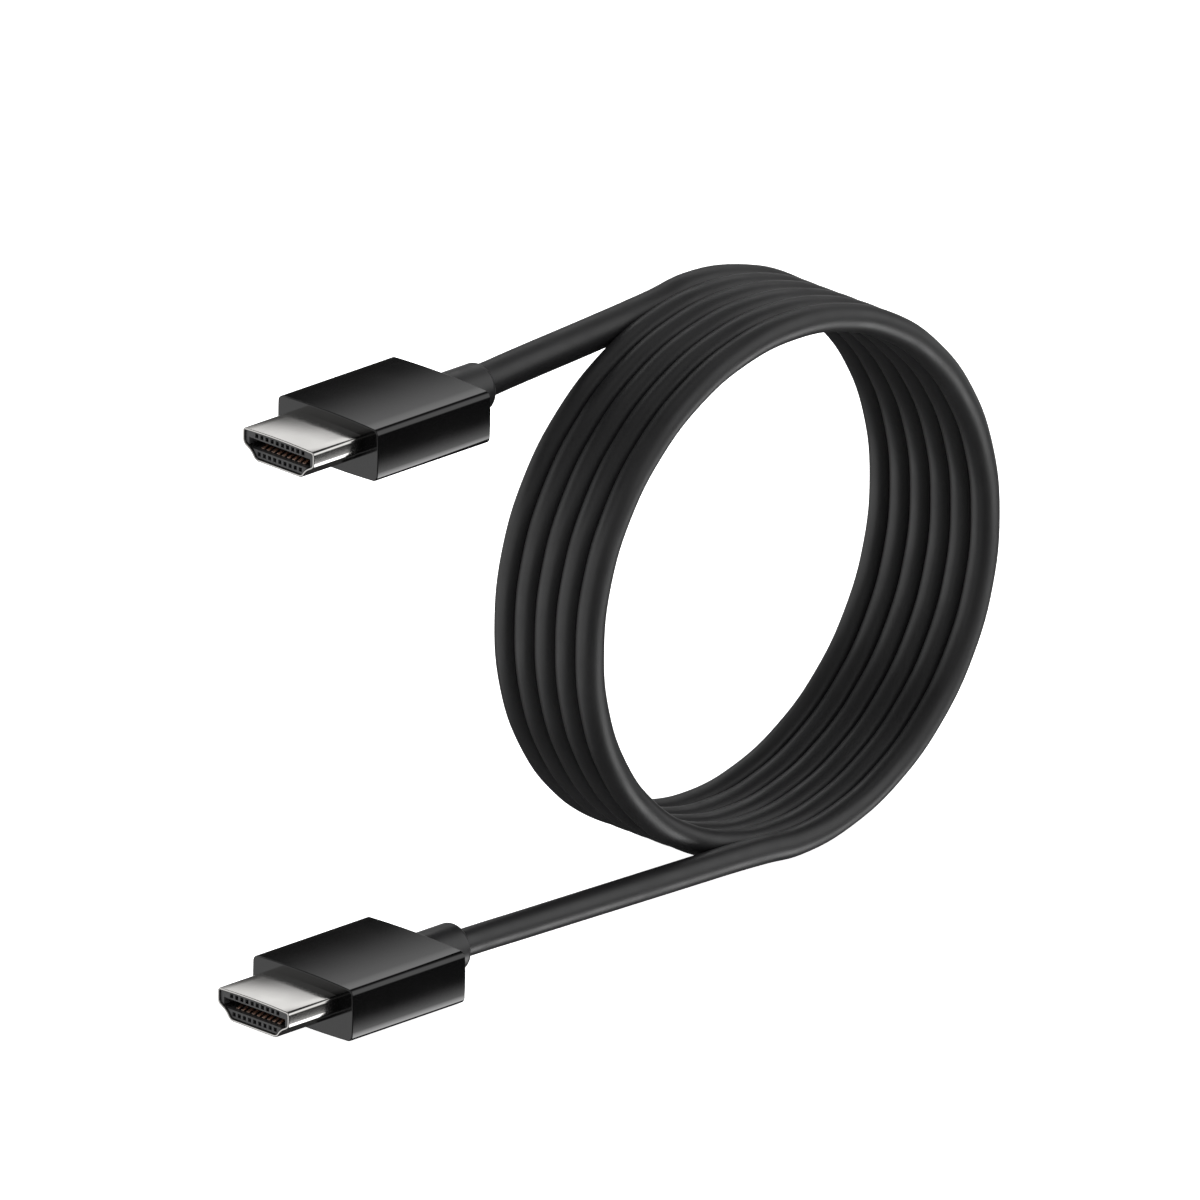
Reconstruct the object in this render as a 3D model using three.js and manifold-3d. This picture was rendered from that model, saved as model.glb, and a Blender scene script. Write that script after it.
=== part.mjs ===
// A coiled audio and video cable with a flat 19-contact plug on each end.
// Millimetres, +Z up. The coil stands on its rim, its axis along Y. The lower plug lies flat on the
// floor and the upper plug is held out level with the top of the coil, both with their mouths
// towards -X. The origin is on the floor, under the middle of the whole object.
import * as THREE from 'three';
import { mergeVertices } from 'three/addons/utils/BufferGeometryUtils.js';
import Module from 'manifold-3d';

// Cable and coil
const cableDiameter = 3.95;
const upperLeadDiameter = 4.9; // the cable is thicker on its way to the upper plug
const coilRadius = 37.15; // from the coil's axis to the middle of the cable
const turnCount = 6; // turns that lie side by side, touching
const turnGroove = 60; // degrees of each turn's side that stand free of the next turn
const coilShift = 1.19; // how far the coil's middle lies behind the middle between the plugs

// Plug body, the moulded grip
const bodyLength = 21.25;
const bodyWidth = 19.5;
const bodyHeight = 8;
const bodyEdgeRadius = 0.8;

// Strain relief, the round collar that the cable leaves through
const reliefDiameter = 6.9;
const reliefLength = 7.6;
const reliefSeat = 3;
const reliefClearance = 0.2;
const reliefRounding = 0.8;

// Steel shell, a bent sheet with a narrower lower side
const shellLength = 9.3;
const shellSeat = 5;
const shellClearance = 0.2;
const shellWall = 0.33;
const shellWidth = 13.9;
const shellHeight = 4.45;
const shellSideHeight = 2.45;
const shellShoulderWidth = 1.54;
const shellShoulderDrop = 0.86;
const shellBottomWidth = 9.1;
const shellRise = 0.24; // how far the shell's middle lies above the body's
const shellCornerRadius = 0.45;
const shellInnerRadius = 0.2;

// Insulator and its tongue slot
const insulatorClearance = 0.1;
const insulatorRecess = 0.3;
const slotWidth = 11.9;
const slotHeight = 1.45;
const slotDepth = 7.6;
const upperBarHeight = 1;

// Contacts, and the square pockets in the two bars
const contactPitch = 1;
const upperContacts = 10;
const lowerContacts = 9;
const contactWidth = 0.42;
const contactThickness = 0.22;
const contactSetback = 0.7;
const pocketWidth = 0.6;
const pocketHeight = 0.6;
const pocketDepth = 1.4;

// Where the plugs lie
const lowerPlugReach = 71.5; // from the coil's axis to the back of the lower body
const upperPlugReach = 46.75;
const upperPlugHeight = 72.73; // from the floor to the middle of the upper body
const plugSpread = 20.74; // between the middles of the two plugs, across the coil

// Facets
const coilFacets = 40;
const turnFacetAngle = 30;
const collarFacets = 24;
const cableSides = 12;
const cornerFacets = 3;
const stepDiameters = 2.5;

const turnPitch = cableDiameter;
const cableRadius = cableDiameter / 2;
const coilWidth = (turnCount - 1) * turnPitch;
const farEnd = lowerPlugReach + bodyLength + shellLength;
const coilFoot = new THREE.Vector3((farEnd - coilRadius - cableRadius) / 2, coilShift - coilWidth / 2, 0);

// The cable's free stretches, from the plug to the coil, measured from the foot of the front turn.
const upperRoute = [
  [-38.85, 19.06, 73.3],
  [-34, 19.08, 73.62],
  [-29, 19.12, 73.92],
  [-22.3, 19.17, 74.29],
];
const lowerRoute = [
  [-63.6, -1.69, 4],
  [-58.5, -1.69, 3.92],
  [-52.8, -1.69, 3.76],
  [-45.3, -1.68, 3.57],
  [-37.8, -1.66, 3.38],
  [-30.2, -1.64, 3.18],
  [-24, -1.62, 3.02],
  [-18.5, -1.6, 2.88],
];

const blackPlastic = new THREE.MeshStandardMaterial({ color: 0x141415, roughness: 0.32, metalness: 0 });
const softBlack = new THREE.MeshStandardMaterial({ color: 0x161617, roughness: 0.5, metalness: 0 });
const jacketBlack = new THREE.MeshStandardMaterial({ color: 0x1b1b1c, roughness: 0.55, metalness: 0 });
const steel = new THREE.MeshStandardMaterial({ color: 0xc9c8c5, roughness: 0.28, metalness: 1 });
const darkPlastic = new THREE.MeshStandardMaterial({ color: 0x2b2b2c, roughness: 0.6, metalness: 0 });
const bronze = new THREE.MeshStandardMaterial({ color: 0xa5734e, roughness: 0.35, metalness: 1 });

const wasm = await Module();
wasm.setup();

// A closed solid from a geometry, ready to be joined or cut.
function toSolid(geometry) {
  const bare = geometry.clone();
  bare.deleteAttribute('normal');
  bare.deleteAttribute('uv');
  const merged = mergeVertices(bare);
  return new wasm.Manifold(new wasm.Mesh({
    numProp: 3,
    vertProperties: Float32Array.from(merged.attributes.position.array),
    triVerts: Uint32Array.from(merged.index.array),
  }));
}

function toGeometry(solid) {
  const mesh = solid.getMesh();
  const geometry = new THREE.BufferGeometry();
  geometry.setAttribute('position', new THREE.BufferAttribute(mesh.vertProperties, 3));
  geometry.setIndex(new THREE.BufferAttribute(mesh.triVerts, 1));
  geometry.computeVertexNormals();
  return geometry;
}

// The same closed outline, each side moved inwards. A negative distance moves the sides outwards.
function insetOutline(outline, distance) {
  return outline.map((point, i) => {
    const before = outline.at(i - 1);
    const after = outline[(i + 1) % outline.length];
    const sideIn = point.clone().sub(before).normalize();
    const sideOut = after.clone().sub(point).normalize();
    const normalIn = new THREE.Vector2(-sideIn.y, sideIn.x);
    const normalOut = new THREE.Vector2(-sideOut.y, sideOut.x);
    const mitre = normalIn.clone().add(normalOut).divideScalar(1 + normalIn.dot(normalOut));
    return point.clone().addScaledVector(mitre, distance);
  });
}

// A drawing path round an outline, with every corner rounded.
function roundedPath(outline, radius, PathType = THREE.Shape) {
  const path = new PathType();
  outline.forEach((corner, i) => {
    const before = outline.at(i - 1);
    const after = outline[(i + 1) % outline.length];
    const sideIn = corner.clone().sub(before).normalize();
    const sideOut = after.clone().sub(corner).normalize();
    const turn = Math.acos(THREE.MathUtils.clamp(sideIn.dot(sideOut), -1, 1));
    const cut = radius * Math.tan(turn / 2);
    const start = corner.clone().addScaledVector(sideIn, -cut);
    const end = corner.clone().addScaledVector(sideOut, cut);
    if (i === 0) path.moveTo(start.x, start.y);
    else path.lineTo(start.x, start.y);
    path.quadraticCurveTo(corner.x, corner.y, end.x, end.y);
  });
  path.closePath();
  return path;
}

// A section drawn in Y and Z, drawn out along X.
function prismAlongX(shape, fromX, toX) {
  const geometry = new THREE.ExtrudeGeometry(shape, {
    depth: toX - fromX,
    bevelEnabled: false,
    curveSegments: cornerFacets,
  });
  const yzx = new THREE.Matrix4().makeBasis(
    new THREE.Vector3(0, 1, 0),
    new THREE.Vector3(0, 0, 1),
    new THREE.Vector3(1, 0, 0),
  );
  return geometry.applyMatrix4(yzx).translate(fromX, 0, 0);
}

// A profile of radius and place along X, turned round the X axis.
function turnedAlongX(profile) {
  return new THREE.LatheGeometry(profile, collarFacets).rotateZ(-Math.PI / 2);
}

function boxFrom(fromX, toX, middleY, widthY, fromZ, toZ) {
  return new THREE.BoxGeometry(toX - fromX, widthY, toZ - fromZ)
    .translate((fromX + toX) / 2, middleY, (fromZ + toZ) / 2);
}

function addMesh(parent, name, geometry, material) {
  const mesh = new THREE.Mesh(geometry, material);
  mesh.name = name;
  parent.add(mesh);
}

// The shell's outside, anticlockwise from the lower right, seen along the plug.
function shellOutline() {
  const top = shellHeight / 2 + shellRise;
  const side = shellWidth / 2;
  const sideFoot = top - shellSideHeight;
  const half = [
    new THREE.Vector2(shellBottomWidth / 2, top - shellHeight),
    new THREE.Vector2(side - shellShoulderWidth, sideFoot - shellShoulderDrop),
    new THREE.Vector2(side, sideFoot),
    new THREE.Vector2(side, top),
  ];
  const otherHalf = half.map((point) => new THREE.Vector2(-point.x, point.y)).reverse();
  return [...half, ...otherHalf];
}

function shellGeometry() {
  const section = roundedPath(shellOutline(), shellCornerRadius);
  const inside = insetOutline(shellOutline(), shellWall);
  section.holes.push(roundedPath(inside, shellInnerRadius, THREE.Path));
  return prismAlongX(section, -shellLength, shellSeat);
}

function bodyGeometry() {
  const outline = [
    new THREE.Vector2(bodyWidth / 2, -bodyHeight / 2),
    new THREE.Vector2(bodyWidth / 2, bodyHeight / 2),
    new THREE.Vector2(-bodyWidth / 2, bodyHeight / 2),
    new THREE.Vector2(-bodyWidth / 2, -bodyHeight / 2),
  ];
  const block = toSolid(prismAlongX(roundedPath(outline, bodyEdgeRadius), 0, bodyLength));
  const pocketOutline = insetOutline(shellOutline(), -shellClearance);
  const pocketStart = -shellLength; // well clear of the front face
  const pocket = toSolid(prismAlongX(roundedPath(pocketOutline, shellCornerRadius), pocketStart, shellSeat));
  const boreRadius = reliefDiameter / 2 + reliefClearance;
  const boreEnd = bodyLength + reliefLength; // well clear of the back face
  const bore = toSolid(turnedAlongX([
    new THREE.Vector2(0, bodyLength - reliefSeat),
    new THREE.Vector2(boreRadius, bodyLength - reliefSeat),
    new THREE.Vector2(boreRadius, boreEnd),
    new THREE.Vector2(0, boreEnd),
  ]));
  return toGeometry(block.subtract(pocket).subtract(bore));
}

function strainReliefGeometry() {
  const radius = reliefDiameter / 2;
  const end = bodyLength + reliefLength;
  const profile = [
    new THREE.Vector2(0, bodyLength - reliefSeat),
    new THREE.Vector2(radius, bodyLength - reliefSeat),
  ];
  for (let i = 0; i <= cornerFacets; i += 1) {
    const angle = (i / cornerFacets) * (Math.PI / 2);
    profile.push(new THREE.Vector2(
      radius - reliefRounding * (1 - Math.cos(angle)),
      end - reliefRounding * (1 - Math.sin(angle)),
    ));
  }
  profile.push(new THREE.Vector2(0, end));
  return turnedAlongX(profile);
}

// Heights of the insulator's parts and the front of its face, in the plug's own frame.
const insulatorFront = -shellLength + insulatorRecess;
const insulatorTop = shellHeight / 2 + shellRise - shellWall - insulatorClearance;
const insulatorFoot = shellHeight / 2 + shellRise - shellHeight + shellWall + insulatorClearance;
const slotTop = insulatorTop - upperBarHeight;
const slotFoot = slotTop - slotHeight;

// The middles of a row of contacts, along Y.
function contactRow(count) {
  return Array.from({ length: count }, (_, i) => (i - (count - 1) / 2) * contactPitch);
}

function insulatorGeometry() {
  const outline = insetOutline(shellOutline(), shellWall + insulatorClearance);
  let block = toSolid(prismAlongX(roundedPath(outline, shellInnerRadius), insulatorFront, shellSeat));
  const cutFrom = -shellLength; // just clear of the insulator's face
  const slotEnd = insulatorFront + slotDepth;
  block = block.subtract(toSolid(boxFrom(cutFrom, slotEnd, 0, slotWidth, slotFoot, slotTop)));
  const rows = [
    { count: upperContacts, middle: (insulatorTop + slotTop) / 2 },
    { count: lowerContacts, middle: (insulatorFoot + slotFoot) / 2 },
  ];
  for (const row of rows) {
    const low = row.middle - pocketHeight / 2;
    const high = row.middle + pocketHeight / 2;
    for (const y of contactRow(row.count)) {
      const end = insulatorFront + pocketDepth;
      block = block.subtract(toSolid(boxFrom(cutFrom, end, y, pocketWidth, low, high)));
    }
  }
  return toGeometry(block);
}

// One row of flat contact springs, lying along the slot's upper or lower face.
function addContacts(plug, prefix, count, low) {
  contactRow(count).forEach((y, i) => {
    const number = String(i + 1).padStart(2, '0');
    const from = insulatorFront + contactSetback;
    const to = insulatorFront + slotDepth;
    const spring = boxFrom(from, to, y, contactWidth, low, low + contactThickness);
    addMesh(plug, `${prefix}_${number}`, spring, bronze);
  });
}

// A whole plug. Its origin is the middle of the body's front face, and its cable leaves along +X.
function makePlug(name) {
  const plug = new THREE.Group();
  addMesh(plug, `${name}_shell`, shellGeometry(), steel);
  addMesh(plug, `${name}_insulator`, insulatorGeometry(), darkPlastic);
  addContacts(plug, `${name}_upper_contact`, upperContacts, slotTop - contactThickness);
  addContacts(plug, `${name}_lower_contact`, lowerContacts, slotFoot);
  addMesh(plug, `${name}_body`, bodyGeometry(), blackPlastic);
  addMesh(plug, `${name}_strain_relief`, strainReliefGeometry(), softBlack);
  return plug;
}

// A point on the cable's round section, at the turn whose middle lies at place along the axis.
function sectionPoint(place, degrees) {
  const angle = THREE.MathUtils.degToRad(degrees);
  return new THREE.Vector2(
    coilRadius + cableRadius * Math.cos(angle),
    place + cableRadius * Math.sin(angle),
  );
}

function sectionArc(place, from, to) {
  const steps = Math.round((to - from) / turnFacetAngle);
  return Array.from({ length: steps + 1 }, (_, i) => sectionPoint(place, from + ((to - from) * i) / steps));
}

// The wound turns as one ring, with a groove between each turn and the next, outside and inside.
function coilGeometry() {
  const last = turnCount - 1;
  const outside = [];
  const inside = [];
  for (let turn = 0; turn <= last; turn += 1) {
    const place = turn * turnPitch;
    outside.push(...sectionArc(place, turn === 0 ? -90 : -turnGroove, turn === last ? 90 : turnGroove));
    const back = last - turn;
    inside.push(...sectionArc(
      back * turnPitch,
      turn === 0 ? 90 + turnFacetAngle : 180 - turnGroove,
      back === 0 ? 270 - turnFacetAngle : 180 + turnGroove,
    ));
  }
  const profile = [...outside, ...inside, outside[0].clone()];
  return new THREE.LatheGeometry(profile, coilFacets);
}

// A plain tube along a free stretch of the cable.
function leadGeometry(route, diameter) {
  const path = new THREE.CatmullRomCurve3(route.map((point) => new THREE.Vector3(...point)));
  const steps = Math.ceil(path.getLength() / (stepDiameters * diameter));
  const outline = Array.from({ length: cableSides }, (_, i) => {
    const angle = (i / cableSides) * 2 * Math.PI;
    return new THREE.Vector2((diameter / 2) * Math.cos(angle), (diameter / 2) * Math.sin(angle));
  });
  return new THREE.ExtrudeGeometry(new THREE.Shape(outline), { steps, extrudePath: path });
}

function makeCable() {
  const cable = new THREE.Group();
  const coil = coilGeometry().translate(0, 0, coilRadius + cableRadius);
  addMesh(cable, 'cable_coil', coil, jacketBlack);
  addMesh(cable, 'cable_upper_lead', leadGeometry(upperRoute, upperLeadDiameter), jacketBlack);
  addMesh(cable, 'cable_lower_lead', leadGeometry(lowerRoute, cableDiameter), jacketBlack);
  cable.position.copy(coilFoot);
  return cable;
}

const upperPlug = makePlug('upper_plug');
upperPlug.position.set(coilFoot.x - upperPlugReach - bodyLength, plugSpread / 2, upperPlugHeight);

const lowerPlug = makePlug('lower_plug');
lowerPlug.position.set(coilFoot.x - lowerPlugReach - bodyLength, -plugSpread / 2, bodyHeight / 2);

const group = new THREE.Group();
group.add(upperPlug, lowerPlug, makeCable());

export default group;
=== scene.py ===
import math

import bmesh
import bpy
from mathutils import Matrix, Vector


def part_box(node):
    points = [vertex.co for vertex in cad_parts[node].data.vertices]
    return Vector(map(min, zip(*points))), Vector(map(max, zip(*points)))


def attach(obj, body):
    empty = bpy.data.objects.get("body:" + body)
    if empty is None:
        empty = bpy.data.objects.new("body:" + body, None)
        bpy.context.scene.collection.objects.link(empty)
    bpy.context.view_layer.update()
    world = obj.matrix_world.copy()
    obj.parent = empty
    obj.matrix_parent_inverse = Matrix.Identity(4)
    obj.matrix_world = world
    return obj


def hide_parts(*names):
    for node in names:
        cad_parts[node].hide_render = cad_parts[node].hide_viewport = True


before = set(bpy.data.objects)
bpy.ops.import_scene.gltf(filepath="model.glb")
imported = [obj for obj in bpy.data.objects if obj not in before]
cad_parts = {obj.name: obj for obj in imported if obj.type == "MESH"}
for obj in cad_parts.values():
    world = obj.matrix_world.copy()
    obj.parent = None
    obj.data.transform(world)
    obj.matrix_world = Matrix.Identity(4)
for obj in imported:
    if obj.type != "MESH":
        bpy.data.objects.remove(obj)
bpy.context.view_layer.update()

millimetre = 0.001
print("frame loaded")


coilLow, coilHigh = (Vector(corner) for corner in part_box("cable_coil"))


# Camera: square on to the photo, with no perspective
cameraLook = {
    "azimuth": math.radians(-44.0),
    "elevation": math.radians(21.0),
    "pixelsPerMillimetre": 7.4,
    "imageSide": 1200,
    "coilMiddlePixel": (575.5, 623.3),  # where the frame's axis at the coil's mid height shows
    "distance": 0.9,
}


def addCamera(look):
    data = bpy.data.cameras.new("photoCamera")
    data.type = "ORTHO"
    perPixel = millimetre / look["pixelsPerMillimetre"]
    data.ortho_scale = look["imageSide"] * perPixel
    camera = bpy.data.objects.new("photoCamera", data)
    bpy.context.scene.collection.objects.link(camera)
    turn = Matrix.Rotation(look["azimuth"], 4, "Z") @ Matrix.Rotation(math.pi / 2 - look["elevation"], 4, "X")
    right, up, back = (turn.col[i].to_3d() for i in range(3))
    middle = look["imageSide"] / 2
    pixelX, pixelY = look["coilMiddlePixel"]
    aim = Vector((0, 0, (coilLow.z + coilHigh.z) / 2))
    aim += right * (middle - pixelX) * perPixel - up * (middle - pixelY) * perPixel
    camera.matrix_world = Matrix.Translation(aim + back * look["distance"]) @ turn
    bpy.context.scene.camera = camera
    return camera


addCamera(cameraLook)
print("camera placed")


# Materials
def newMaterial(name, settings):
    material = bpy.data.materials.new(name)
    material.use_nodes = True
    shader = material.node_tree.nodes["Principled BSDF"]
    shader.inputs["Metallic"].default_value = settings.get("metallic", 0.0)
    shader.inputs["IOR"].default_value = settings.get("ior", 1.5)
    shader.inputs["Specular IOR Level"].default_value = settings.get("specular", 0.5)
    return material, shader


def addNode(material, kind, **sockets):
    node = material.node_tree.nodes.new(kind)
    for name, value in sockets.items():
        node.inputs[name].default_value = value
    return node


def joinNodes(material, fromSocket, toSocket):
    material.node_tree.links.new(fromSocket, toSocket)


def objectNoise(material, scale, detail=3.0, stretch=(1, 1, 1)):
    # a noise fixed to the piece, its grain stretched along an axis where stretch is small
    place = material.node_tree.nodes.new("ShaderNodeTexCoord")
    mapping = material.node_tree.nodes.new("ShaderNodeMapping")
    mapping.inputs["Scale"].default_value = stretch
    noise = addNode(material, "ShaderNodeTexNoise", Scale=scale, Detail=detail)
    joinNodes(material, place.outputs["Object"], mapping.inputs["Vector"])
    joinNodes(material, mapping.outputs["Vector"], noise.inputs["Vector"])
    return noise.outputs["Fac"]


def spread(material, factor, low, high):
    # turns a noise into a value between low and high
    node = material.node_tree.nodes.new("ShaderNodeMapRange")
    node.inputs["From Min"].default_value = 0.3
    node.inputs["From Max"].default_value = 0.7
    node.inputs["To Min"].default_value = low
    node.inputs["To Max"].default_value = high
    joinNodes(material, factor, node.inputs["Value"])
    return node.outputs["Result"]


def tint(material, factor, dark, light):
    ramp = material.node_tree.nodes.new("ShaderNodeValToRGB")
    ramp.color_ramp.elements[0].position = 0.3
    ramp.color_ramp.elements[1].position = 0.7
    ramp.color_ramp.elements[0].color = (*dark, 1)
    ramp.color_ramp.elements[1].color = (*light, 1)
    joinNodes(material, factor, ramp.inputs["Fac"])
    return ramp.outputs["Color"]


def bump(material, factor, shader, strength, depth):
    node = addNode(material, "ShaderNodeBump", Strength=strength, Distance=depth)
    joinNodes(material, factor, node.inputs["Height"])
    joinNodes(material, node.outputs["Normal"], shader.inputs["Normal"])


def finishedMaterial(name, settings):
    # one recipe for all finishes: mottled colour, uneven roughness and a fine surface grain
    material, shader = newMaterial(name, settings)
    mottle = objectNoise(material, settings["mottleScale"])
    colour = tint(material, mottle, settings["dark"], settings["light"])
    joinNodes(material, colour, shader.inputs["Base Color"])
    rub = objectNoise(material, settings["rubScale"], 4.0, settings.get("rubStretch", (1, 1, 1)))
    joinNodes(material, spread(material, rub, *settings["roughness"]), shader.inputs["Roughness"])
    grain = objectNoise(material, settings["grainScale"], 2.0, settings.get("grainStretch", (1, 1, 1)))
    bump(material, grain, shader, settings["grainStrength"], settings["grainDepth"])
    return material


jacketFinish = {
    "dark": (0.0060, 0.0060, 0.0063),
    "light": (0.0085, 0.0085, 0.0089),
    "mottleScale": 60.0,
    "roughness": (0.40, 0.50),
    "rubScale": 220.0,
    "grainScale": 2600.0,
    "grainStrength": 0.12,
    "grainDepth": 0.00004,
}
bodyFinish = {
    "dark": (0.0012, 0.0012, 0.0013),
    "light": (0.0020, 0.0020, 0.0021),
    "mottleScale": 90.0,
    "roughness": (0.08, 0.11),
    "rubScale": 160.0,
    "grainScale": 1800.0,
    "grainStrength": 0.015,
    "grainDepth": 0.00001,
}
reliefFinish = {
    "dark": (0.0065, 0.0065, 0.0068),
    "light": (0.0090, 0.0090, 0.0094),
    "mottleScale": 120.0,
    "roughness": (0.34, 0.44),
    "rubScale": 260.0,
    "grainScale": 2600.0,
    "grainStrength": 0.10,
    "grainDepth": 0.00003,
}
shellFinish = {
    "metallic": 1.0,
    "dark": (0.50, 0.49, 0.475),
    "light": (0.57, 0.56, 0.545),
    "mottleScale": 140.0,
    "roughness": (0.15, 0.19),
    "rubScale": 220.0,
    "rubStretch": (0.15, 1, 1),
    "grainScale": 4200.0,
    "grainStretch": (0.05, 1, 1),
    "grainStrength": 0.015,
    "grainDepth": 0.000005,
}
insulatorFinish = {
    "dark": (0.020, 0.020, 0.0205),
    "light": (0.030, 0.030, 0.031),
    "mottleScale": 300.0,
    "roughness": (0.42, 0.55),
    "rubScale": 700.0,
    "grainScale": 6000.0,
    "grainStrength": 0.15,
    "grainDepth": 0.00001,
}
contactFinish = {
    "metallic": 1.0,
    "dark": (0.40, 0.29, 0.24),
    "light": (0.56, 0.43, 0.36),
    "mottleScale": 900.0,
    "roughness": (0.22, 0.34),
    "rubScale": 1500.0,
    "grainScale": 7000.0,
    "grainStretch": (0.1, 1, 1),
    "grainStrength": 0.08,
    "grainDepth": 0.000005,
}
jacketBlack = finishedMaterial("jacketBlack", jacketFinish)
glossBlack = finishedMaterial("glossBlack", bodyFinish)
reliefBlack = finishedMaterial("reliefBlack", reliefFinish)
nickelSteel = finishedMaterial("nickelSteel", shellFinish)
darkPlastic = finishedMaterial("darkPlastic", insulatorFinish)
springBronze = finishedMaterial("springBronze", contactFinish)
print("materials made")


# Cable: one curve from inside one strain relief, round the coil, to inside the other
cable = {
    "diameter": 3.95 * millimetre,
    "coilRadius": 37.15 * millimetre,
    "turns": 5.5,
    "pointsPerTurn": 24,
    "easing": 0.5,  # how gently a turn starts and ends its step to the next place
    "lean": 0.5 * millimetre,  # how far the winding's foot stands back, and its top forward
    "thickening": 0.4 * millimetre,  # how much the winding's end grows towards the thicker stretch
    "thickeningAngle": 90,  # degrees of the winding over which it grows
    "insideRelief": 1.6 * millimetre,
    "sidesResolution": 7,
    "curveResolution": 6,
}
# The free stretches, in millimetres from the foot of the front turn, with the cable's width there
lowerRoute = [
    (-63.6, -1.69, 4, 3.95),
    (-58.5, -1.69, 3.92, 3.95),
    (-52.8, -1.69, 3.76, 3.95),
    (-45.3, -1.68, 3.57, 3.95),
    (-37.8, -1.66, 3.38, 3.95),
    (-30.2, -1.64, 3.18, 3.95),
    (-24, -1.62, 3.02, 3.95),
    (-18.5, -1.6, 2.88, 3.95),
    (-12, -1.56, 2.7, 3.95),
    (-6, -1.52, 2.4, 3.95),
]
upperRoute = [
    (-38.85, 19.06, 73.3, 4.9),
    (-34, 19.08, 73.62, 4.9),
    (-29, 19.12, 73.92, 4.9),
    (-22.3, 19.17, 74.29, 4.9),
    (-16.8, 19.22, 74.62, 4.88),
    (-11.2, 19.28, 75.02, 4.8),
    (-5.6, 19.36, 75.55, 4.6),
]
coilFoot = Vector(((coilLow.x + coilHigh.x) / 2, coilLow.y + cable["diameter"] / 2, coilLow.z))


def turnPlace(degrees):
    # how far back a point of the winding lies: level over the top half of a turn, and a step
    # of one diameter to the next place along the bottom half
    turnNumber, part = divmod((degrees + 90) / 360, 1)
    along = min(part * 2, 1)
    eased = along - cable["easing"] * math.sin(2 * math.pi * along) / (2 * math.pi)
    return (turnNumber - 1 + eased) * cable["diameter"]


def windingPoints():
    # place and width of the cable all round the winding
    count = round(cable["turns"] * cable["pointsPerTurn"])
    points = []
    for i in range(count + 1):
        degrees = 360 * cable["turns"] * i / count
        angle = math.radians(degrees)
        nearEnd = max(0, 1 - (360 * cable["turns"] - degrees) / cable["thickeningAngle"])
        width = cable["diameter"] + cable["thickening"] * nearEnd ** 2
        place = coilFoot + Vector((
            cable["coilRadius"] * math.sin(angle),
            turnPlace(degrees) + cable["lean"] * math.cos(angle) + (width - cable["diameter"]) / 2,
            cable["diameter"] / 2 + cable["coilRadius"] * (1 - math.cos(angle)),
        ))
        points.append((place, width))
    return points


def routePoints(route):
    return [(coilFoot + Vector(point[:3]) * millimetre, point[3] * millimetre) for point in route]


def addCable():
    lower = routePoints(lowerRoute)
    upper = routePoints(upperRoute)
    inside = Vector((cable["insideRelief"], 0, 0))
    start, end = ((stretch[0][0] - inside, stretch[0][1]) for stretch in (lower, upper))
    points = [start, *lower, *windingPoints(), *reversed(upper), end]
    data = bpy.data.curves.new("cable", "CURVE")
    data.dimensions = "3D"
    data.resolution_u = data.render_resolution_u = cable["curveResolution"]
    data.bevel_depth = cable["diameter"] / 2
    data.bevel_resolution = cable["sidesResolution"]
    data.use_fill_caps = True
    spline = data.splines.new("BEZIER")
    spline.bezier_points.add(len(points) - 1)
    for bezier, (place, width) in zip(spline.bezier_points, points):
        bezier.co = place
        bezier.radius = width / cable["diameter"]
        bezier.handle_left_type = bezier.handle_right_type = "AUTO"
    data.materials.append(jacketBlack)
    piece = bpy.data.objects.new("cable", data)
    bpy.context.scene.collection.objects.link(piece)
    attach(piece, "root")
    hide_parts("cable_coil", "cable_upper_lead", "cable_lower_lead")
    length = sum((b[0] - a[0]).length for a, b in zip(points, points[1:]))
    print("cable route", round(length, 4), "m")
    return piece, length


cablePiece, cableLength = addCable()


# Plug pieces
def finishPiece(mesh, name, material, node, sharpAngle=30):
    data = bpy.data.meshes.new(name)
    mesh.to_mesh(data)
    mesh.free()
    data.materials.append(material)
    piece = bpy.data.objects.new(name, data)
    bpy.context.scene.collection.objects.link(piece)
    for polygon in data.polygons:
        polygon.use_smooth = True
    data.set_sharp_from_angle(angle=math.radians(sharpAngle))
    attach(piece, "root")
    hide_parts(node)
    return piece


def addBevel(piece, width, segments, angle=30):
    bevel = piece.modifiers.new("softEdges", "BEVEL")
    bevel.width = width
    bevel.segments = segments
    bevel.limit_method = "ANGLE"
    bevel.angle_limit = math.radians(angle)
    return bevel


body = {
    "edgeRadius": 0.8 * millimetre,
    "edgeSegments": 6,
    "endRounding": 0.14 * millimetre,
    "topCrown": 0.28 * millimetre,  # how far the long edges drop below the middle
    "sideCrown": 0.14 * millimetre,
    "widestPlace": 0.2,  # the share of the half height at which the sides stand out most
    "crownReach": 1.2,  # over 1, so that the crown is full just before the edges' rounding
    "strips": 9,
}


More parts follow.
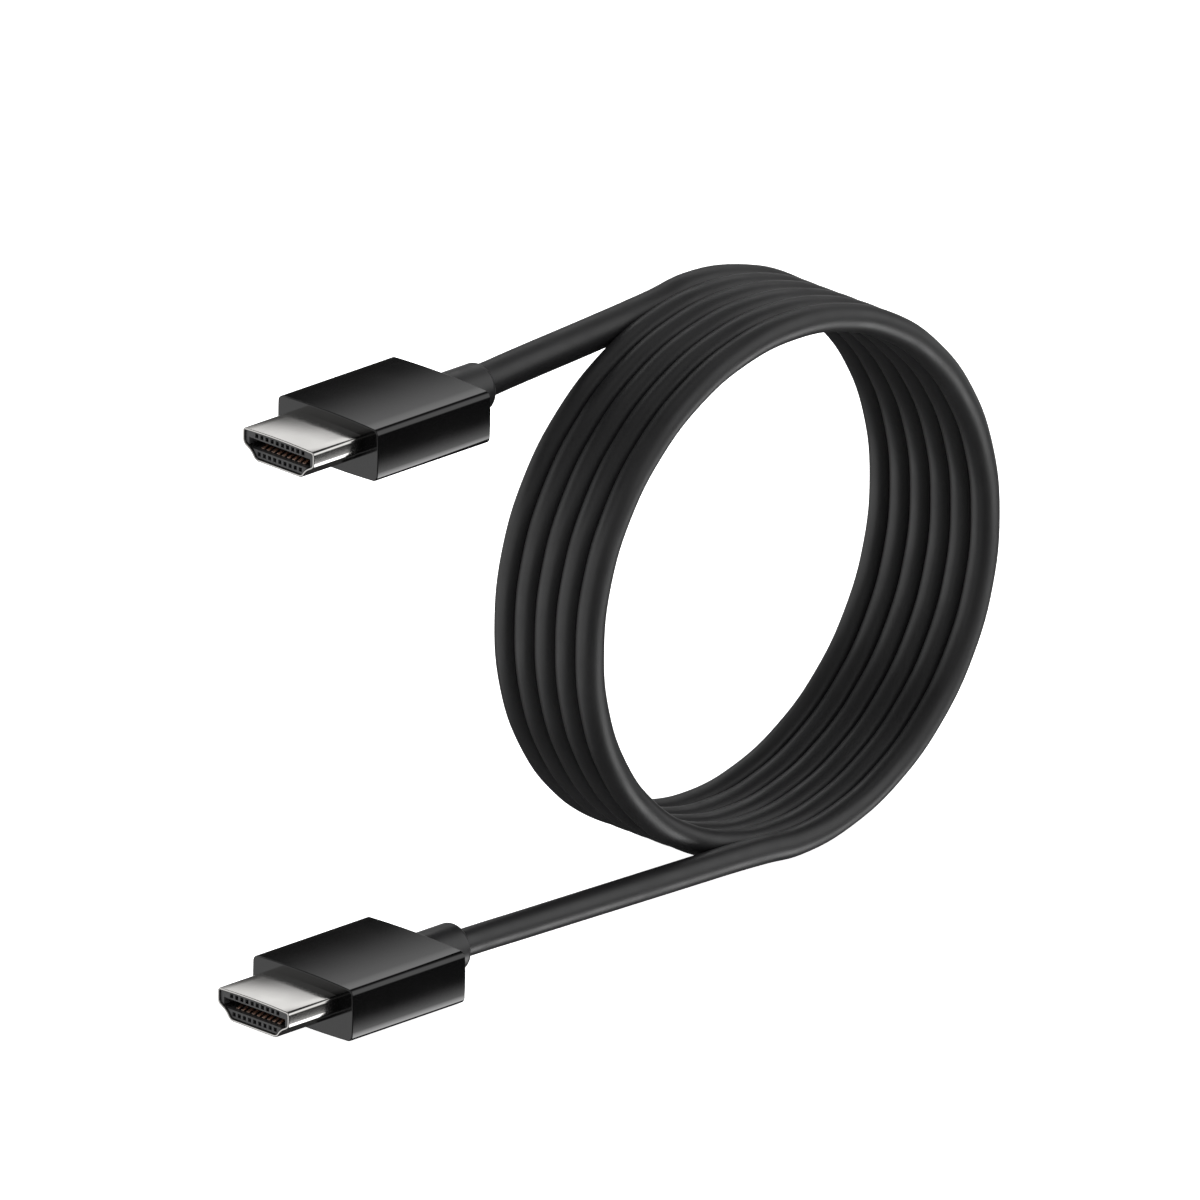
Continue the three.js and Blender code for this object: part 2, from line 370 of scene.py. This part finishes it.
def addBody(plug):
    low, high = (Vector(corner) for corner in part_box(plug + "_body"))
    size, middle = high - low, (low + high) / 2
    mesh = bmesh.new()
    bmesh.ops.create_cube(mesh, size=1)
    bmesh.ops.scale(mesh, vec=size, verts=mesh.verts)
    lengthwise = [e for e in mesh.edges if abs(e.verts[0].co.x - e.verts[1].co.x) > size.x / 2]
    bmesh.ops.bevel(
        mesh, geom=lengthwise, offset=body["edgeRadius"], segments=body["edgeSegments"],
        affect="EDGES", profile=0.5, material=-1,
    )
    flats = [
        e for e in mesh.edges
        if abs(e.verts[0].co.x - e.verts[1].co.x) < 1e-7 and e.calc_length() > body["edgeRadius"] * 2
    ]
    bmesh.ops.subdivide_edges(mesh, edges=flats, cuts=body["strips"], use_grid_fill=True)
    # a slight crown, so that the flats aren't dead flat
    for vert in mesh.verts:
        across, tall = vert.co.y / (size.y / 2), vert.co.z / (size.z / 2)
        topShare = across ** 2 * min(abs(tall) * body["crownReach"], 1)
        vert.co.z -= math.copysign(body["topCrown"], tall) * topShare
        sideShare = (tall - body["widestPlace"]) ** 2 * min(abs(across) * body["crownReach"], 1)
        vert.co.y -= math.copysign(body["sideCrown"], across) * sideShare
    bmesh.ops.translate(mesh, vec=middle, verts=mesh.verts)
    bmesh.ops.recalc_face_normals(mesh, faces=mesh.faces)
    piece = finishPiece(mesh, plug + "_grip", glossBlack, plug + "_body")
    addBevel(piece, body["endRounding"], 3, 40)
    return piece


relief = {
    "rounding": 1.0 * millimetre,
    "mouthGap": 0.12 * millimetre,
    "mouthDepth": 1.4 * millimetre,
    "mouthRounding": 0.25 * millimetre,
    "arcSteps": 7,
    "mouthSteps": 3,
    "sides": 64,
}


def addRelief(plug):
    low, high = (Vector(corner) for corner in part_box(plug + "_strain_relief"))
    radius = (high.y - low.y) / 2
    middle = (low + high) / 2
    hole = cable["diameter"] / 2 + relief["mouthGap"]
    profile = [(low.x, 0.0), (low.x, radius)]
    for i in range(relief["arcSteps"] + 1):
        angle = math.pi / 2 * i / relief["arcSteps"]
        profile.append((
            high.x - relief["rounding"] * (1 - math.sin(angle)),
            radius - relief["rounding"] * (1 - math.cos(angle)),
        ))
    for i in range(relief["mouthSteps"] + 1):
        angle = math.pi / 2 * i / relief["mouthSteps"]
        profile.append((
            high.x - relief["mouthRounding"] * (1 - math.cos(angle)),
            hole + relief["mouthRounding"] * (1 - math.sin(angle)),
        ))
    profile += [(high.x - relief["mouthDepth"], hole), (high.x - relief["mouthDepth"], 0.0)]
    mesh = bmesh.new()
    corners = [mesh.verts.new((x, middle.y, middle.z + r)) for x, r in profile]
    edges = [mesh.edges.new(pair) for pair in zip(corners, corners[1:])]
    bmesh.ops.spin(
        mesh, geom=corners + edges, cent=middle, axis=(1, 0, 0), angle=2 * math.pi,
        steps=relief["sides"], use_merge=True, dvec=(0, 0, 0),
    )
    bmesh.ops.remove_doubles(mesh, verts=mesh.verts, dist=1e-7)
    bmesh.ops.recalc_face_normals(mesh, faces=mesh.faces)
    return finishPiece(mesh, plug + "_collar", reliefBlack, plug + "_strain_relief")


shell = {
    "wall": 0.33 * millimetre,
    "sideHeight": 2.45 * millimetre,
    "shoulderWidth": 1.54 * millimetre,
    "shoulderDrop": 0.86 * millimetre,
    "bottomWidth": 9.1 * millimetre,
    "cornerRadius": 0.5 * millimetre,
    "cornerSegments": 5,
    "rimRounding": 0.13 * millimetre,
    "topCrown": 0.2 * millimetre,
    "sideCrown": 0.035 * millimetre,
    "strips": 9,
}


def addShell(plug):
    low, high = (Vector(corner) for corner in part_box(plug + "_shell"))
    centre = (low.y + high.y) / 2
    halfWidth = (high.y - low.y) / 2
    half = [
        (halfWidth, high.z),
        (halfWidth, high.z - shell["sideHeight"]),
        (halfWidth - shell["shoulderWidth"], high.z - shell["sideHeight"] - shell["shoulderDrop"]),
        (shell["bottomWidth"] / 2, low.z),
    ]
    outline = half + [(-y, z) for y, z in reversed(half)]
    mesh = bmesh.new()
    corners = [mesh.verts.new((low.x, centre + y, z)) for y, z in outline]
    mesh.faces.new(corners)
    bmesh.ops.bevel(
        mesh, geom=corners, offset=shell["cornerRadius"], segments=shell["cornerSegments"],
        affect="VERTICES", profile=0.5, material=-1,
    )
    bmesh.ops.delete(mesh, geom=list(mesh.faces), context="FACES_ONLY")
    wide = [e for e in mesh.edges if e.calc_length() > shell["sideHeight"] / 2]
    bmesh.ops.subdivide_edges(mesh, edges=wide, cuts=shell["strips"])
    # the sheet is very slightly domed, as pressed sheet is
    sideMiddle = high.z - shell["sideHeight"] / 2
    for vert in mesh.verts:
        across = (vert.co.y - centre) / halfWidth
        rise = (vert.co.z - sideMiddle) / (shell["sideHeight"] / 2)
        if rise > 0:
            vert.co.z -= shell["topCrown"] * across ** 2 * rise
        if abs(across) > 0.99:
            vert.co.y -= math.copysign(shell["sideCrown"] * rise ** 2, across)
    drawn = bmesh.ops.extrude_edge_only(mesh, edges=list(mesh.edges))["geom"]
    farVerts = [v for v in drawn if isinstance(v, bmesh.types.BMVert)]
    bmesh.ops.translate(mesh, vec=(high.x - low.x, 0, 0), verts=farVerts)
    bmesh.ops.recalc_face_normals(mesh, faces=mesh.faces)
    if sum(f.normal.z * (f.calc_center_median().z - (low.z + high.z) / 2) for f in mesh.faces) < 0:
        bmesh.ops.reverse_faces(mesh, faces=mesh.faces)
    piece = finishPiece(mesh, plug + "_steel_shell", nickelSteel, plug + "_shell", 50)
    wall = piece.modifiers.new("sheetThickness", "SOLIDIFY")
    wall.thickness = shell["wall"]
    wall.offset = -1
    wall.use_even_offset = True
    addBevel(piece, shell["rimRounding"], 3, 60)
    return piece


# Contact springs: each rises from the slot's back, bows into the slot and dips into its pocket
spring = {
    "width": 0.6 * millimetre,
    "thickness": 0.18 * millimetre,
    "bow": 0.45 * millimetre,
    "bowPlace": 0.22,  # share of its length behind its tip
    "bowReach": 0.6,  # share of its length over which the bow fades towards the back
    "bowSharpness": 1.2,
    "edgeRounding": 0.05 * millimetre,
    "steps": 14,
}


def addSpring(node):
    low, high = (Vector(corner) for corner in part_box(node))
    fromTop = "upper_contact" in node
    base = high.z if fromTop else low.z
    direction = -1 if fromTop else 1
    centre = (low.y + high.y) / 2
    length = high.x - low.x
    mesh = bmesh.new()
    path = []
    for i in range(spring["steps"] + 1):
        share = i / spring["steps"]
        reach = spring["bowPlace"] if share < spring["bowPlace"] else spring["bowReach"]
        away = min(abs(share - spring["bowPlace"]) / reach, 1)
        lift = spring["bow"] * max(0, math.cos(away * math.pi / 2)) ** spring["bowSharpness"]
        path.append((low.x + length * share, base + direction * lift))
    left = [mesh.verts.new((x, centre - spring["width"] / 2, z)) for x, z in path]
    edges = [mesh.edges.new(pair) for pair in zip(left, left[1:])]
    strip = bmesh.ops.extrude_edge_only(mesh, edges=edges)["geom"]
    bmesh.ops.translate(
        mesh, vec=(0, spring["width"], 0), verts=[v for v in strip if isinstance(v, bmesh.types.BMVert)],
    )
    bmesh.ops.recalc_face_normals(mesh, faces=mesh.faces)
    if sum(f.normal.z for f in mesh.faces) * direction < 0:
        bmesh.ops.reverse_faces(mesh, faces=mesh.faces)
    piece = finishPiece(mesh, node + "_spring", springBronze, node, 40)
    wall = piece.modifiers.new("stripThickness", "SOLIDIFY")
    wall.thickness = spring["thickness"]
    wall.offset = 1
    addBevel(piece, spring["edgeRounding"], 2, 60)
    return piece


def dressNode(node, material):
    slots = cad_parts[node].material_slots
    for place in slots:
        place.material = material


def addPlug(plug):
    pieces = [addBody(plug), addRelief(plug), addShell(plug)]
    insulator = plug + "_insulator"
    dressNode(insulator, darkPlastic)
    pieces.append(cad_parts[insulator])
    for node in sorted(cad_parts):
        if node.startswith(plug) and "_contact_" in node:
            pieces.append(addSpring(node))
    print(plug, "made of", len(pieces), "pieces")
    return pieces


lowerPieces = addPlug("lower_plug")
upperPieces = addPlug("upper_plug")


# Floor, reflecting panels and lamps
studio = {
    "floorSide": 6.0,
    "floorColour": (0.86, 0.86, 0.86, 1),
    "floorRoughness": 0.9,
    "floorGlow": 1.0,
    "softboxHeight": 1.2,
    "softboxSide": 2.4,
    "softboxPower": 30,
    "ambient": 0.03,
}
# Each panel is a soft-edged patch of sky: its compass middle (degrees from +X towards +Y), the half
# widths where it starts to fade and where it is gone, and the heights (degrees) of its lower and
# upper edge, each given as where the fade starts and where it ends
panels = {
    "behind": {"middle": 46, "width": (25, 50), "lower": (18, 31), "upper": (36, 46), "strength": 1.4},
    "horizon": {"middle": 46, "width": (40, 70), "lower": (-25, -15), "upper": (2, 12), "strength": 0.5},
    "right": {"middle": -50, "width": (25, 55), "lower": (-10, 8), "upper": (38, 55), "strength": 1.5},
    "rightLow": {"middle": -48, "width": (15, 35), "lower": (-55, -45), "upper": (-33, -22), "strength": 5.0},
    "left": {"middle": 150, "width": (30, 55), "lower": (-45, -30), "upper": (20, 35), "strength": 1.1},
    "front": {"middle": -134, "width": (35, 60), "lower": (8, 18), "upper": (30, 45), "strength": 0.35},
    "overhead": {"middle": 0, "width": (179, 180), "lower": (62, 78), "upper": (89.5, 90), "strength": 0.5},
}


def addFloor():
    mesh = bmesh.new()
    bmesh.ops.create_grid(mesh, x_segments=1, y_segments=1, size=studio["floorSide"] / 2)
    data = bpy.data.meshes.new("floor")
    mesh.to_mesh(data)
    mesh.free()
    material = bpy.data.materials.new("paleFloor")
    material.use_nodes = True
    shader = material.node_tree.nodes["Principled BSDF"]
    shader.inputs["Base Color"].default_value = studio["floorColour"]
    shader.inputs["Roughness"].default_value = studio["floorRoughness"]
    shader.inputs["Specular IOR Level"].default_value = 0.1
    shader.inputs["Emission Color"].default_value = (1, 1, 1, 1)
    shader.inputs["Emission Strength"].default_value = studio["floorGlow"]
    data.materials.append(material)
    floor = bpy.data.objects.new("floor", data)
    bpy.context.scene.collection.objects.link(floor)
    floor.visible_glossy = False
    floor.visible_shadow = False


def addSky():
    world = bpy.data.worlds.new("studioSky")
    bpy.context.scene.world = world
    world.use_nodes = True
    nodes, links = world.node_tree.nodes, world.node_tree.links
    place = nodes.new("ShaderNodeTexCoord").outputs["Generated"]
    parts = nodes.new("ShaderNodeSeparateXYZ")
    links.new(place, parts.inputs["Vector"])
    level = nodes.new("ShaderNodeVectorMath")
    level.operation = "MULTIPLY"
    level.inputs[1].default_value = (1, 1, 0)
    links.new(place, level.inputs[0])
    compass = nodes.new("ShaderNodeVectorMath")
    compass.operation = "NORMALIZE"
    links.new(level.outputs["Vector"], compass.inputs[0])

    def fade(socket, start, end, low=0.0, high=1.0):
        node = nodes.new("ShaderNodeMapRange")
        node.interpolation_type = "SMOOTHSTEP"
        node.inputs["From Min"].default_value = start
        node.inputs["From Max"].default_value = end
        node.inputs["To Min"].default_value = low
        node.inputs["To Max"].default_value = high
        links.new(socket, node.inputs["Value"])
        return node.outputs["Result"]

    def combine(operation, first, second):
        node = nodes.new("ShaderNodeMath")
        node.operation = operation
        links.new(first, node.inputs[0])
        if isinstance(second, float):
            node.inputs[1].default_value = second
        else:
            links.new(second, node.inputs[1])
        return node.outputs["Value"]

    total = None
    for panel in panels.values():
        middle = math.radians(panel["middle"])
        toward = nodes.new("ShaderNodeVectorMath")
        toward.operation = "DOT_PRODUCT"
        toward.inputs[1].default_value = (math.cos(middle), math.sin(middle), 0)
        links.new(compass.outputs["Vector"], toward.inputs[0])
        inner, outer = (math.cos(math.radians(width)) for width in panel["width"])
        lowFade, highFade = ([math.sin(math.radians(h)) for h in panel[edge]] for edge in ("lower", "upper"))
        light = fade(toward.outputs["Value"], outer, inner)
        light = combine("MULTIPLY", light, fade(parts.outputs["Z"], *lowFade))
        light = combine("MULTIPLY", light, fade(parts.outputs["Z"], *highFade, 1.0, 0.0))
        light = combine("MULTIPLY", light, panel["strength"])
        total = light if total is None else combine("ADD", total, light)
    total = combine("ADD", total, studio["ambient"])
    links.new(total, nodes["Background"].inputs["Strength"])
    nodes["Background"].inputs["Color"].default_value = (1, 1, 1, 1)


def addSoftbox(name, place, aim, size, power):
    data = bpy.data.lights.new(name, "AREA")
    data.shape = "RECTANGLE"
    data.size, data.size_y = size
    data.energy = power
    lamp = bpy.data.objects.new(name, data)
    bpy.context.scene.collection.objects.link(lamp)
    lamp.location = place
    lamp.rotation_euler = (Vector(aim) - Vector(place)).to_track_quat("-Z", "Y").to_euler()
    lamp.visible_glossy = False


addFloor()
addSky()
addSoftbox(
    "overheadSoftbox", (0, 0, studio["softboxHeight"]), (0, 0, 0),
    (studio["softboxSide"], studio["softboxSide"]), studio["softboxPower"],
)
bpy.context.scene.view_settings.view_transform = "Standard"
print("studio lit")
